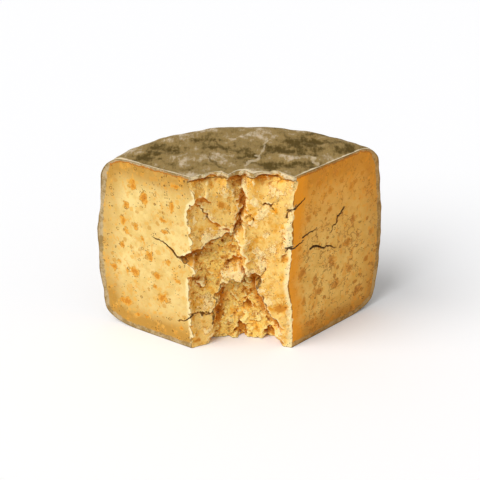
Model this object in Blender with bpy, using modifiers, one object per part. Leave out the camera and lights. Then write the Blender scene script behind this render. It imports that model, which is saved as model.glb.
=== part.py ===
"""Parmesan chunk.

A wide wedge of hard cheese, split off a drum at its full height. The two flat sides are cut
through the middle of the drum, the tip where they met is broken away, and the rind is left on
the top, the bottom and the round outside. The broken face shows crags, a cleft, a ledge and a
cave, and cracks run from it into both cut sides.

The drum stands with its axis along Z. Outlines on the broken face are points (x, z), and cracks
on a cut side are points (distance from the axis, z), both in millimetres.
"""
import math

import bmesh
import bpy
import numpy as np
from mathutils import Vector, noise

MM = 0.001

# The drum, in metres
DRUM_HEIGHT = 0.220
DRUM_RADIUS = 0.2026
WIDEST_HEIGHT = 0.082
BARREL = 0.0125
TOP_CORNER_ACROSS, TOP_CORNER_DOWN = 0.034, 0.032
LOW_CORNER_ACROSS, LOW_CORNER_UP = 0.046, 0.020
RIND_THICKNESS = 0.006
DRUM_STEPS = 96
CORNER_STEPS = 6
SIDE_STEPS = 8

# The cut sides, as angles round the axis from straight back
LEFT_CUT = math.radians(-59.5)
RIGHT_CUT = math.radians(48.9)
BEYOND_DRUM = 0.400

# The block of air in front of the broken face
AIR_LEFT, AIR_RIGHT = -0.100, 0.085
AIR_BELOW, AIR_ABOVE = -0.012, 0.232
AIR_FRONT = -0.050
CELL = 0.0033

# Where the broken face meets the cut sides: (z, distance from the axis) in millimetres
LEFT_EDGE = ((0, 76), (20, 77.5), (46, 79.5), (86, 81), (107, 80.5), (115, 90.5), (126, 81.5),
             (130, 75), (156, 76.5), (170, 81.5), (186, 77.5), (195, 68.5), (204, 71.5), (220, 73))
RIGHT_EDGE = ((0, 62.5), (53, 61), (72, 57), (85, 54), (102, 55), (118, 57.5), (130, 57),
              (137, 59.5), (175, 58.5), (205, 59), (220, 60))
EDGE_REACH = 0.014
HOLLOW = 0.011
RIND_LIP = 0.003

# Crags of the broken face: outline, depth at its top and at its bottom, width of its slope
CLEFT = ((-25, 214), (-24, 203), (-17, 193), (-17, 184), (-11, 174), (-16, 165), (-18, 153),
         (-21, 140), (-14, 140), (-13, 160), (-8, 176), (-8, 188), (-11, 203), (-13, 212))
UNDERCUT = ((-95, 121), (-77, 121), (-70, 125), (-61, 123), (-53, 126), (-50, 132), (-30, 136),
            (-20, 143), (-13, 143), (-10, 125), (-8, 90), (-8, 20), (-30, -20), (-95, -20))
SHOULDER = ((-18, 134), (-8, 150), (-2, 140), (-2, 60), (-16, 80), (-22, 110))
LOW_SLAB = ((-95, 186), (-66, 186), (-57, 181), (-51, 172), (-42, 160), (-23, 148), (-20, 141),
            (-30, 134), (-61, 121), (-95, 118))
CHIP = ((-9, 104), (-9, 88), (-11, 79), (-19, 82), (-24, 78), (-32, 79), (-32, 90), (-19, 102))
HOLE_OVER_CHIP = ((-26, 96), (-19, 102), (-9, 104), (-10, 112), (-18, 111), (-27, 103))
CAVE = ((-6, 90), (-11, 79), (-19, 82), (-26, 76), (-32, 69), (-39, 57), (-36, 46), (-42, 40),
        (-41, 24), (-43, 12), (-55, -20), (40, -20), (36, 2), (30, 12), (34, 23), (19, 41),
        (12, 57), (7, 72), (9, 88), (4, 94))
CAVE_POCKETS = (((-16, -12), (-17, 4), (-13, 14), (-8, 13), (-4, 2), (-5, -12)),
                ((14, -12), (17, 6), (22, 16), (29, 8), (30, -12)),
                ((-9, 31), (-8, 38), (-1, 40), (3, 36), (-3, 30)))
RIGHT_POCKET = ((31, 112), (37, 125), (44, 132), (60, 142), (60, 116), (38, 108))
CRAGS = (
    (LOW_SLAB, 3, 3, 5),
    (CLEFT, 18, 18, 6),
    (UNDERCUT, 17, 3, 6),
    (SHOULDER, -7, -4, 14),
    (CHIP, -10, -8, 5),
    (HOLE_OVER_CHIP, 8, 8, 6),
    (CAVE, 20, 12, 6),
    (RIGHT_POCKET, 7, 1, 6),
) + tuple((pocket, 9, 7, 6) for pocket in CAVE_POCKETS)
# How far the deep parts run up behind the ledges over them, for each metre of depth
OVERHANG = 0.35

# Lumps of the broken face: width and height of each size of grain, in metres
GRAINS = ((0.022, 0.0030), (0.010, 0.0018))
PLATE_CALM = 0.35
GRAIN_SEED = 11

# Cracks: cut side, route, width and depth at the wide end, in millimetres
CRACKS = (
    ("left", ((84, 112), (92, 117), (101, 124), (112, 131), (126, 133)), 4.0, 7.0),
    ("left", ((74, 49), (81, 40), (88, 35), (97, 31)), 2.6, 5.0),
    ("right", ((52, 178), (62, 181), (69, 185), (76, 188)), 4.0, 7.0),
    ("right", ((54, 133), (64, 133), (72, 135), (77, 137)), 4.0, 7.0),
    ("right", ((126, 108), (113, 115), (99, 120), (90, 124), (86, 122)), 3.0, 5.0),
    ("right", ((138, 160), (134, 149), (127, 146), (124, 138), (116, 131)), 3.2, 5.0),
)
LIP_OUTSIDE = 0.002

PASTE_COLOUR = (0.86, 0.62, 0.28, 1.0)
PASTE_ROUGHNESS = 0.55


def clear_scene():
    for thing in list(bpy.data.objects):
        bpy.data.objects.remove(thing, do_unlink=True)


def collection(name):
    group = bpy.data.collections.new(name)
    bpy.context.scene.collection.children.link(group)
    return group


def add_object(name, form, group, parent):
    """An object from a bmesh, in a collection and under a parent."""
    mesh = bpy.data.meshes.new(name)
    form.to_mesh(mesh)
    form.free()
    thing = bpy.data.objects.new(name, mesh)
    thing.parent = parent
    group.objects.link(thing)
    return thing


def as_cutter(thing):
    thing.hide_render = True
    thing.display_type = 'WIRE'
    return thing


def side_radius(height):
    """Radius of the drum's bulging side at a height."""
    return DRUM_RADIUS - BARREL * ((height - WIDEST_HEIGHT) / (DRUM_HEIGHT / 2)) ** 2


def drum_profile():
    """Half outline (radius, height) of the drum, from its top middle out and down."""
    top_start = DRUM_HEIGHT - TOP_CORNER_DOWN
    top_flat = side_radius(top_start) - TOP_CORNER_ACROSS
    low_flat = side_radius(LOW_CORNER_UP) - LOW_CORNER_ACROSS
    points = [(0.0, DRUM_HEIGHT)]
    for step in range(CORNER_STEPS + 1):
        turn = math.pi / 2 * step / CORNER_STEPS
        points.append((top_flat + TOP_CORNER_ACROSS * math.sin(turn),
                       top_start + TOP_CORNER_DOWN * math.cos(turn)))
    for step in range(1, SIDE_STEPS):
        height = top_start + (LOW_CORNER_UP - top_start) * step / SIDE_STEPS
        points.append((side_radius(height), height))
    for step in range(CORNER_STEPS + 1):
        turn = math.pi / 2 * step / CORNER_STEPS
        points.append((low_flat + LOW_CORNER_ACROSS * math.cos(turn),
                       LOW_CORNER_UP * (1 - math.sin(turn))))
    points.append((0.0, 0.0))
    return points


def drum(group, parent):
    """The whole drum, turned from its half outline."""
    form = bmesh.new()
    corners = [form.verts.new((radius, 0, height)) for radius, height in drum_profile()]
    for above, below in zip(corners, corners[1:]):
        form.edges.new((above, below))
    thing = add_object("parmesan_chunk", form, group, parent)
    screw = thing.modifiers.new("turned", 'SCREW')
    screw.steps = DRUM_STEPS
    screw.render_steps = DRUM_STEPS
    screw.use_merge_vertices = True
    screw.merge_threshold = 0.0001
    return thing


def on_cut(cut, distance, height, lift=0.0):
    """A point on a cut side, or lifted off it to the outside of the chunk."""
    away = 1 if cut > 0 else -1
    return Vector((distance * math.sin(cut) + away * lift * math.cos(cut),
                   distance * math.cos(cut) - away * lift * math.sin(cut), height))


def wedge(group, parent):
    """The slice of the drum between the two cuts."""
    plan = [Vector((0, 0, AIR_BELOW)), on_cut(RIGHT_CUT, BEYOND_DRUM, AIR_BELOW),
            Vector((0, BEYOND_DRUM, AIR_BELOW)), on_cut(LEFT_CUT, BEYOND_DRUM, AIR_BELOW)]
    form = bmesh.new()
    floor = form.faces.new([form.verts.new(corner) for corner in plan])
    raised = bmesh.ops.extrude_face_region(form, geom=[floor])["geom"]
    corners = [item for item in raised if isinstance(item, bmesh.types.BMVert)]
    bmesh.ops.translate(form, verts=corners, vec=(0, 0, AIR_ABOVE - AIR_BELOW))
    bmesh.ops.recalc_face_normals(form, faces=form.faces)
    return as_cutter(add_object("cut_sides", form, group, parent))


def smooth(value, low, high):
    """0 below low, 1 above high, with a soft ramp between."""
    ramp = np.clip((value - low) / (high - low), 0, 1)
    return ramp * ramp * (3 - 2 * ramp)


def inside(x, z, outline, slope):
    """1 in an outline, 0 outside it, with a slope of the given width centred on its edge."""
    corners = np.array(outline) * MM
    nearest = np.full(x.shape, np.inf)
    within = np.zeros(x.shape, dtype=bool)
    for (x0, z0), (x1, z1) in zip(corners, np.roll(corners, -1, axis=0)):
        run_x, run_z = x1 - x0, z1 - z0
        along = ((x - x0) * run_x + (z - z0) * run_z) / (run_x ** 2 + run_z ** 2)
        along = np.clip(along, 0, 1)
        nearest = np.minimum(nearest, np.hypot(x - x0 - along * run_x, z - z0 - along * run_z))
        if run_z != 0:
            crossing = x0 + (z - z0) * run_x / run_z
            within ^= ((z0 > z) != (z1 > z)) & (x < crossing)
    distance = np.where(within, nearest, -nearest)
    return smooth(distance, -slope * MM / 2, slope * MM / 2)


def edge_line(table, z):
    heights, distances = np.array(table).T * MM
    return np.interp(z, heights, distances)


def grain(x, z):
    """Rounded lumps that stand up from the broken face."""
    total = np.zeros(x.shape)
    for place in np.ndindex(x.shape):
        for width, height in GRAINS:
            spot = Vector((x[place] / width, GRAIN_SEED, z[place] / width))
            total[place] += height * noise.noise(spot)
    return total


def broken_face(x, z):
    """The points of the broken face for arrays of x and z, in metres."""
    left = edge_line(LEFT_EDGE, z)
    right = edge_line(RIGHT_EDGE, z)
    left_x, left_y = left * math.sin(LEFT_CUT), left * math.cos(LEFT_CUT)
    right_x, right_y = right * math.sin(RIGHT_CUT), right * math.cos(RIGHT_CUT)
    left_rest, right_rest = left_y.mean(), right_y.mean()
    across = np.clip((x - left_x) / (right_x - left_x), 0, 1)
    y = left_rest + (right_rest - left_rest) * across + HOLLOW * 4 * across * (1 - across)
    y += (left_y - left_rest) * np.exp(-np.maximum(x - left_x, 0) / EDGE_REACH)
    y += (right_y - right_rest) * np.exp(-np.maximum(right_x - x, 0) / EDGE_REACH)

    inner = smooth(x - left_x, 0, EDGE_REACH / 2) * smooth(right_x - x, 0, EDGE_REACH / 2)
    depth = np.zeros(x.shape)
    rough = np.full(x.shape, PLATE_CALM)
    for outline, top_depth, low_depth, slope in CRAGS:
        heights = [corner[1] * MM for corner in outline]
        up = smooth(z, max(min(heights), 0), max(heights))
        mask = inside(x, z, outline, slope) * inner
        depth += mask * (low_depth + (top_depth - low_depth) * up) * MM
        rough = np.maximum(rough, mask)
    depth += grain(x, z) * rough * inner
    rind = smooth(z, DRUM_HEIGHT - RIND_THICKNESS - CELL, DRUM_HEIGHT - RIND_THICKNESS)
    return np.stack((x, y + depth - RIND_LIP * rind, z + OVERHANG * depth), axis=-1)


def air_in_front(group, parent):
    """The block of air whose back is the broken face."""
    columns = round((AIR_RIGHT - AIR_LEFT) / CELL)
    rows = round((AIR_ABOVE - AIR_BELOW) / CELL)
    form = bmesh.new()
    bmesh.ops.create_grid(form, x_segments=columns, y_segments=rows, size=1)
    face = list(form.verts)
    x = np.array([AIR_LEFT + (AIR_RIGHT - AIR_LEFT) * (corner.co.x + 1) / 2 for corner in face])
    z = np.array([AIR_BELOW + (AIR_ABOVE - AIR_BELOW) * (corner.co.y + 1) / 2 for corner in face])
    for corner, place in zip(face, broken_face(x, z)):
        corner.co = place
    pushed = bmesh.ops.extrude_face_region(form, geom=list(form.faces))["geom"]
    for item in pushed:
        if isinstance(item, bmesh.types.BMVert):
            item.co.y = AIR_FRONT
    bmesh.ops.recalc_face_normals(form, faces=form.faces)
    return as_cutter(add_object("broken_away", form, group, parent))


def crack(name, side, route, width, depth, group, parent):
    """A thin jagged wedge that runs out to nothing along its route on a cut side."""
    cut = LEFT_CUT if side == "left" else RIGHT_CUT
    form = bmesh.new()
    rings = []
    for step, (distance, height) in enumerate(route):
        before = route[max(step - 1, 0)]
        after = route[min(step + 1, len(route) - 1)]
        run = Vector((after[0] - before[0], after[1] - before[1])).normalized()
        left_over = 1 - 0.92 * step / (len(route) - 1)
        half = width / 2 * left_over
        lips = [(distance - run.y * half, height + run.x * half),
                (distance + run.y * half, height - run.x * half)]
        ring = [on_cut(cut, lip[0] * MM, lip[1] * MM, LIP_OUTSIDE) for lip in lips]
        ring.append(on_cut(cut, distance * MM, height * MM, -depth * MM * left_over))
        rings.append([form.verts.new(corner) for corner in ring])
    for ring, following in zip(rings, rings[1:]):
        for corner in range(3):
            following_corner = (corner + 1) % 3
            form.faces.new((ring[corner], ring[following_corner],
                            following[following_corner], following[corner]))
    form.faces.new(rings[0])
    form.faces.new(rings[-1])
    bmesh.ops.recalc_face_normals(form, faces=form.faces)
    return as_cutter(add_object(name, form, group, parent))


def cut_with(thing, cutter, operation, name):
    cut = thing.modifiers.new(name, 'BOOLEAN')
    cut.object = cutter
    cut.operation = operation


def paste():
    """Pale yellow cheese, a little waxy."""
    material = bpy.data.materials.new("hard_cheese")
    material.use_nodes = True
    shader = material.node_tree.nodes["Principled BSDF"]
    shader.inputs["Base Color"].default_value = PASTE_COLOUR
    shader.inputs["Roughness"].default_value = PASTE_ROUGHNESS
    shader.inputs["Metallic"].default_value = 0.0
    return material


def centre_on_base(thing, axis):
    """Move the drum's axis so that the middle of the chunk's base is at the origin."""
    bpy.context.view_layer.update()
    shaped = thing.evaluated_get(bpy.context.evaluated_depsgraph_get())
    corners = np.array([shaped.matrix_world @ Vector(corner) for corner in shaped.bound_box])
    low, high = corners.min(axis=0), corners.max(axis=0)
    axis.location = (-(low[0] + high[0]) / 2, -(low[1] + high[1]) / 2, -low[2])
    bpy.context.view_layer.update()
    print("size of the chunk:", (high - low).round(4), "axis at:", axis.location[:])


def main():
    clear_scene()
    parts = collection("parmesan_chunk")
    cutters = collection("cutters")
    axis = bpy.data.objects.new("drum_axis", None)
    parts.objects.link(axis)

    chunk = drum(parts, axis)
    cut_with(chunk, wedge(cutters, axis), 'INTERSECT', "cut sides")
    cut_with(chunk, air_in_front(cutters, axis), 'DIFFERENCE', "broken face")
    for number, (side, route, width, depth) in enumerate(CRACKS):
        blade = crack(f"crack_{number}", side, route, width, depth, cutters, axis)
        cut_with(chunk, blade, 'DIFFERENCE', f"crack {number}")
    chunk.data.materials.append(paste())
    centre_on_base(chunk, axis)


main()
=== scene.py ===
# %% [markdown]
# A chunk of hard cheese, broken from its drum
#
# The object is one wide wedge of aged cheese at the full height of the drum it came from. Two
# sides are cut flat, the tip between them is broken away, and the rind is still on the top, the
# bottom and the round back.
#
# We could sculpt it by hand, but every shape here has a simple origin: the drum is turned, the
# cuts are planes, and the break is a sheet pushed back by crags. So we follow the same steps as
# the real cheese: turn, cut, break, then crumble the surface a little.

# %% Load the frame and place the drum's axis
import itertools
import math

import bmesh
import bpy
import numpy as np
from mathutils import Matrix, Vector, noise
from mathutils.bvhtree import BVHTree


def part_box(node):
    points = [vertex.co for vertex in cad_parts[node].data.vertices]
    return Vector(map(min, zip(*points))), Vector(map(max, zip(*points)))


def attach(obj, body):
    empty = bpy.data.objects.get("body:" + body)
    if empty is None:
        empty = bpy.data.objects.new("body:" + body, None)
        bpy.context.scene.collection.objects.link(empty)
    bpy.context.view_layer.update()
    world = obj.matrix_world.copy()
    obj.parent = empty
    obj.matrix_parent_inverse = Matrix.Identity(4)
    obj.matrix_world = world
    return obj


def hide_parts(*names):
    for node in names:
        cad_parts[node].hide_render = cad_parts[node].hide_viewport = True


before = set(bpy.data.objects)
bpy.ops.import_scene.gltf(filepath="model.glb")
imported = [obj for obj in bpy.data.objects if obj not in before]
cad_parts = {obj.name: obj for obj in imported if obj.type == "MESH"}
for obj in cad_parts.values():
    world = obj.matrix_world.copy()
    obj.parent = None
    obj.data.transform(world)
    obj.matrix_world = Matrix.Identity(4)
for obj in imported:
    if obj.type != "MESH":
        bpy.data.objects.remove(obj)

NODE = "parmesan_chunk"
MM = 0.001
DRUM_HEIGHT = 0.220
DRUM_RADIUS = 0.2026
LEFT_CUT = math.radians(-59.5)
RIGHT_CUT = math.radians(48.9)

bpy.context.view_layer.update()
low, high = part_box(NODE)
AXIS = Vector((high.x - DRUM_RADIUS * math.sin(RIGHT_CUT), high.y - DRUM_RADIUS, low.z))
print("drum axis at", AXIS[:])

# %% [markdown]
# The studio
#
# The cheese stands on a pale floor in plain soft light. A very soft sun far to the left of the
# camera makes the left side bright and leaves the right side in shade, and a white world fills
# the shade. A sun lights the floor evenly, which a lamp close by can't do.
#
# The camera looks down by thirty degrees with a long lens, which is what the outline asks for:
# the upright edges stay nearly parallel.

# %% Floor, world, sun and camera
IMAGE_SIZE = 480
FOCAL_PIXELS = 1100
SENSOR_WIDTH = 36.0
CAMERA_PITCH = math.radians(30.325)
CAMERA_FROM_AXIS = Vector((-0.0123, -0.983, 0.7416))
SUN_AZIMUTH = math.radians(-58)
SUN_ELEVATION = math.radians(47)
SUN_SOFTNESS = math.radians(50)
SUN_STRENGTH = 2.5
WORLD_STRENGTH = 0.45


def link(thing):
    bpy.context.scene.collection.objects.link(thing)
    return thing


def srgb(red, green, blue):
    """A colour as an eye reads it from a picture, 0 to 255, turned into linear light."""
    parts = np.array((red, green, blue)) / 255
    linear = np.where(parts <= 0.04045, parts / 12.92, ((parts + 0.055) / 1.055) ** 2.4)
    return (*linear, 1.0)


FLOOR_COLOUR, FLOOR_ROUGHNESS, FLOOR_SIZE = srgb(252, 252, 253), 0.9, 6.0
FLOOR_GAP = 0.0002
floor_mesh = bpy.data.meshes.new("floor")
form = bmesh.new()
bmesh.ops.create_grid(form, x_segments=1, y_segments=1, size=FLOOR_SIZE)
form.to_mesh(floor_mesh)
form.free()
floor = link(bpy.data.objects.new("floor", floor_mesh))
floor.location.z = low.z - FLOOR_GAP
floor_paint = bpy.data.materials.new("floor")
floor_paint.use_nodes = True
floor_shader = floor_paint.node_tree.nodes["Principled BSDF"]
floor_shader.inputs["Base Color"].default_value = FLOOR_COLOUR
floor_shader.inputs["Roughness"].default_value = FLOOR_ROUGHNESS
floor_mesh.materials.append(floor_paint)

world = bpy.data.worlds.new("studio")
world.use_nodes = True
world.node_tree.nodes["Background"].inputs["Color"].default_value = (1, 1, 1, 1)
world.node_tree.nodes["Background"].inputs["Strength"].default_value = WORLD_STRENGTH
bpy.context.scene.world = world
bpy.context.scene.view_settings.view_transform = 'Standard'

sun_light = bpy.data.lights.new("sun", 'SUN')
sun_light.energy = SUN_STRENGTH
sun_light.angle = SUN_SOFTNESS
sun = link(bpy.data.objects.new("sun", sun_light))
sun.rotation_euler = (math.pi / 2 - SUN_ELEVATION, 0, SUN_AZIMUTH)

lens = bpy.data.cameras.new("camera")
lens.sensor_width = SENSOR_WIDTH
lens.lens = FOCAL_PIXELS / IMAGE_SIZE * SENSOR_WIDTH
camera = link(bpy.data.objects.new("camera", lens))
camera.location = AXIS + CAMERA_FROM_AXIS
camera.rotation_euler = (math.pi / 2 - CAMERA_PITCH, 0, 0)
bpy.context.scene.camera = camera
print("lens", round(lens.lens, 1), "mm, camera at", camera.location[:])

# %% [markdown]
# The drum
#
# A drum of this cheese has a flat top and bottom, a side that bulges a little, and corners that
# sink softly under its own weight. We need its surface as an even net of small faces, because
# later steps will move single points of it.
#
# A Screw modifier would turn the outside but leave the cut sides empty. Here the section is laid
# out as rows and columns of points first. Its outline is spun through the angle between the cuts,
# and a filled section closes each end.

# %% Turn the wedge
WIDEST_HEIGHT = 0.082
BARREL = 0.0125
TOP_CORNER_ACROSS, TOP_CORNER_DOWN = 0.034, 0.032
LOW_CORNER_ACROSS, LOW_CORNER_UP = 0.046, 0.020
INNER_RADIUS = 0.030
CORNER_ROWS = 18
SIDE_ROWS = 78
COLUMNS = 86
SPIN_STEPS = 112


def side_radius(height):
    """Radius of the drum's bulging side at a height."""
    return DRUM_RADIUS - BARREL * ((height - WIDEST_HEIGHT) / (DRUM_HEIGHT / 2)) ** 2


def outer_line():
    """The (radius, height) points of the drum's side, from the flat top to the flat base."""
    top_start = DRUM_HEIGHT - TOP_CORNER_DOWN
    top_flat = side_radius(top_start) - TOP_CORNER_ACROSS
    low_flat = side_radius(LOW_CORNER_UP) - LOW_CORNER_ACROSS
    turns = [math.pi / 2 * row / CORNER_ROWS for row in range(CORNER_ROWS + 1)]
    top = [(top_flat + TOP_CORNER_ACROSS * math.sin(turn),
            top_start + TOP_CORNER_DOWN * math.cos(turn)) for turn in turns]
    heights = np.linspace(top_start, LOW_CORNER_UP, SIDE_ROWS + 1)[1:-1]
    side = [(side_radius(height), height) for height in heights]
    bottom = [(low_flat + LOW_CORNER_ACROSS * math.cos(turn),
               LOW_CORNER_UP * (1 - math.sin(turn))) for turn in turns]
    return np.array(top + side + bottom)


def section_net():
    """Rows and columns of (radius, height) points that fill half a section of the drum."""
    outer = outer_line()
    share = np.linspace(0, 1, COLUMNS + 1)
    radii = INNER_RADIUS + (outer[:, :1] - INNER_RADIUS) * share
    heights = np.repeat(outer[:, 1:], COLUMNS + 1, axis=1)
    return np.stack((radii, heights), axis=-1)


def turned_wedge():
    """The wedge between the two cuts, closed, as a bmesh round the drum's axis."""
    form = bmesh.new()
    net = section_net()
    rows, columns = net.shape[:2]
    for cut in (LEFT_CUT, RIGHT_CUT):
        corners = [[form.verts.new((radius * math.sin(cut), radius * math.cos(cut), height))
                    for radius, height in row] for row in net]
        for row in range(rows - 1):
            for column in range(columns - 1):
                form.faces.new((corners[row][column], corners[row][column + 1],
                                corners[row + 1][column + 1], corners[row + 1][column]))
        if cut == LEFT_CUT:
            border = [edge for edge in form.edges if edge.is_boundary]
            rim = bmesh.ops.duplicate(form, geom=border)["geom"]
    bmesh.ops.spin(form, geom=rim, cent=(0, 0, 0), axis=(0, 0, -1), dvec=(0, 0, 0),
                   angle=RIGHT_CUT - LEFT_CUT, steps=SPIN_STEPS, use_duplicate=False)
    bmesh.ops.remove_doubles(form, verts=form.verts, dist=0.01 * MM)
    bmesh.ops.recalc_face_normals(form, faces=form.faces)
    return form


def mesh_object(name, form):
    mesh = bpy.data.meshes.new(name)
    form.to_mesh(mesh)
    form.free()
    return link(bpy.data.objects.new(name, mesh))


chunk = mesh_object("cheese", turned_wedge())
print("turned wedge:", len(chunk.data.polygons), "faces")

# %% [markdown]
# The broken face
#
# Hard cheese isn't cut, it is split with a short knife, and it breaks along its grains. That
# leaves smooth plates, a deep cleft between two of them, a ledge with a coarse hollow under it,
# and an arched cave at the foot.
#
# We describe each crag as an outline with a depth. A point of the face sinks by the depths of all
# the outlines that it lies in. The outlines are warped by noise first, so that twelve corners
# give a ragged edge, and the deep parts run up behind the ledges, which makes real overhangs.

# %% Outlines of the crags, (x, z) in millimetres from the drum's axis
LEFT_EDGE = ((0, 76), (20, 77.5), (46, 79.5), (86, 81), (93, 80), (96, 74), (104, 70.5),
             (109, 75), (112, 83), (115, 90.5), (126, 81.5), (130, 75), (156, 76.5), (170, 81.5),
             (186, 77.5), (195, 68.5), (204, 71.5), (220, 73))
RIGHT_EDGE = ((0, 62.5), (53, 61), (72, 57), (85, 54), (102, 55), (118, 57.5), (130, 57),
              (137, 59.5), (175, 58.5), (205, 59), (220, 60))
RIND_LINE = ((-64, 38), (-56, 43), (-42, 50), (-32, 51), (-25, 44), (-20, 49), (-12, 55),
             (-5, 54), (2, 49), (20, 51), (27, 54), (37, 44), (44, 40))

CLEFT = ((-25, 214), (-23, 205), (-18, 197), (-17, 190), (-12, 182), (-10, 175), (-15, 167),
         (-17, 161), (-19, 151), (-21, 140), (-16, 139), (-12, 148), (-10, 163), (-6, 173),
         (-6, 187), (-9, 197), (-9, 205), (-11, 214))
UNDERCUT = ((-95, 121), (-77, 121), (-70, 125), (-61, 123), (-53, 126), (-50, 132), (-30, 136),
            (-24, 142), (-17, 140), (-13, 128), (-8, 119), (-7, 98), (-8, 20), (-30, -20),
            (-95, -20))
SHOULDER = ((-18, 134), (-8, 150), (-2, 140), (-2, 60), (-16, 80), (-22, 110))
LOW_SLAB = ((-95, 186), (-66, 186), (-57, 181), (-51, 172), (-42, 160), (-23, 148), (-20, 141),
            (-30, 134), (-61, 121), (-95, 118))
LEFT_STRIP = ((-95, 224), (-49, 224), (-49, 211), (-52, 196), (-47, 188), (-46, 182), (-66, 187),
              (-95, 187))
CHIP = ((-9, 99), (-9, 88), (-11, 79), (-19, 82), (-24, 78), (-32, 79), (-32, 89), (-19, 97))
HOLE_OVER_CHIP = ((-26, 92), (-19, 97), (-9, 99), (-8, 106), (-17, 105), (-27, 98))
CAVE = ((-6, 90), (-11, 79), (-19, 82), (-26, 76), (-32, 69), (-39, 57), (-36, 46), (-42, 40),
        (-41, 24), (-43, 12), (-55, -20), (40, -20), (36, 2), (30, 12), (34, 23), (19, 41),
        (12, 57), (7, 72), (9, 88), (4, 94))
CAVE_POCKETS = (((-16, -12), (-17, 4), (-13, 14), (-8, 13), (-4, 2), (-5, -12)),
                ((14, -12), (17, 6), (22, 16), (29, 8), (30, -12)),
                ((-9, 31), (-8, 38), (-1, 40), (3, 36), (-3, 30)))
RIGHT_POCKET = ((31, 112), (37, 125), (44, 132), (60, 142), (60, 116), (38, 108))
RIGHT_STRIP = ((35, 162), (34, 147), (35, 135), (38, 129), (43, 134), (60, 144), (60, 162))
LOW_FLAKE = ((-62, 84), (-56, 85), (-51, 81), (-50, 76), (-54, 73), (-57, 76), (-62, 79))
TOP_FLAKE = ((-76, 194), (-60, 192), (-61, 186), (-76, 185))
ORANGE_PATCH = ((3, 212), (10, 217), (17, 217), (23, 211), (19, 206), (13, 203))
CRAGS = (
    (LOW_SLAB, 3, 3, 2),
    (LEFT_STRIP, 2, 2.5, 2),
    (CLEFT, 8, 9, 3),
    (UNDERCUT, 17, 3, 3),
    (SHOULDER, -7, -4, 14),
    (CHIP, -10, -8, 2),
    (HOLE_OVER_CHIP, 5, 5, 3),
    (CAVE, 20, 12, 3),
    (RIGHT_POCKET, 7, 1, 3),
    (RIGHT_STRIP, -2, -2, 1.5),
    (LOW_FLAKE, -6, -6, 1.5),
    (ORANGE_PATCH, 3, 3, 3),
) + tuple((pocket, 9, 7, 3) for pocket in CAVE_POCKETS)
EDGE_FLAKES = ((TOP_FLAKE, -4, 2),)
FISSURES = (   # how strong, then the route
    (0.5, ((7, 184), (11, 183.5), (15.5, 180.5))),
    (1.0, ((14, 181), (20, 180.5), (22, 183.5))),
    (0.5, ((22, 183.5), (24, 186), (28, 189))),
    (0.9, ((17, 180.5), (22, 175))),
    (0.7, ((-7, 160.5), (-3, 165.5), (4, 162))),
    (0.8, ((-67, 187), (-57, 181.5), (-51, 178), (-51, 172), (-42, 160))),
    (0.3, ((-42, 160), (-30, 153), (-23, 148))),
    (0.5, ((-12, 212), (-10, 205), (-10, 197), (-8, 187), (-8, 173), (-12, 163), (-14, 148))),
    (0.5, ((-49, 211), (-50, 203), (-52, 196), (-47, 188), (-45, 182))),
    (0.4, ((35, 162), (34, 147), (35, 135), (38, 129))),
    (1.0, ((38, 129), (43, 134), (55, 141))),
    (0.9, ((38, 169), (42, 177), (51, 185))),
    (0.8, ((-68, 45), (-52, 36.5), (-42, 40))),
    (0.7, ((8, 89), (13, 94), (15, 101))),
    (0.4, ((19, 41), (28, 30), (37, 21))),
)
LEDGE_LINES = (   # painted shadow lines under the lips of the plates and the arch; painted, not carved
    (0.9, ((-78, 121), (-70, 127), (-61, 125), (-53, 128), (-50, 134), (-30, 138), (-22, 143))),
    (0.5, ((-22, 143), (-19, 153), (-17, 165), (-12, 174), (-18, 184), (-18, 193), (-25, 203),
           (-26, 214))),
    (0.7, ((-43, 24), (-44, 40), (-38, 47), (-41, 58), (-33, 71), (-26, 78), (-19, 84), (-11, 81),
           (-9, 90), (-6, 92), (-1, 90), (4, 96), (10, 90), (9, 72), (14, 57), (21, 41), (36, 23))),
    (0.6, ((-62, 78), (-57, 74), (-53, 71), (-48, 75), (-50, 82))),
    (0.4, ((-33, 79), (-33, 90), (-20, 98), (-8, 101))),
)
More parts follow.
